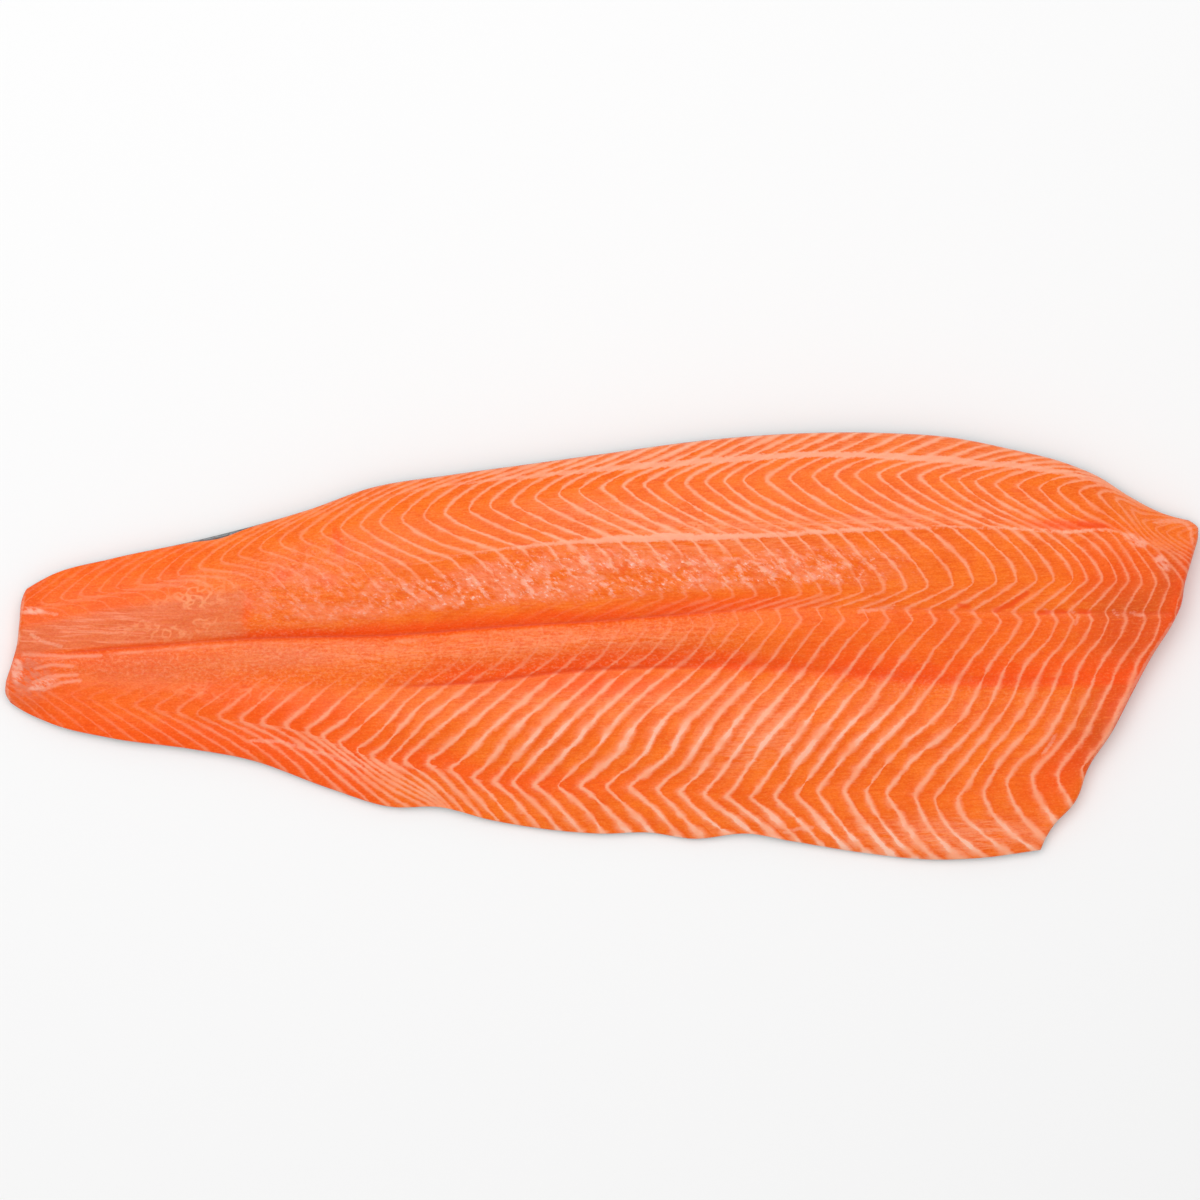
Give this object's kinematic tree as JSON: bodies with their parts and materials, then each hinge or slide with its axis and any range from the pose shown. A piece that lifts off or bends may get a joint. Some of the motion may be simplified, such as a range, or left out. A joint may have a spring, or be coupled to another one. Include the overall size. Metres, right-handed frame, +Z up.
{
  "type": "raw salmon fillet",
  "caption": "Whole raw side of salmon lying skin down: thick orange loin along the back, groove of the removed backbone, thin belly flap, cut square at tail and head end.",
  "frame": {"origin": "on the surface that the fillet lies on, under the middle of its outline", "axes": "+X along the fillet to its head end, +Y across it to the back of the fish, +Z up, skin down"},
  "size_m": [0.5968, 0.2141, 0.0321],
  "materials": {
    "flesh": "moist",
    "skin": "wet scales"
  },
  "bodies": {
    "root": {"flesh": "flesh", "skin": "skin"}
  },
  "joints": []
}
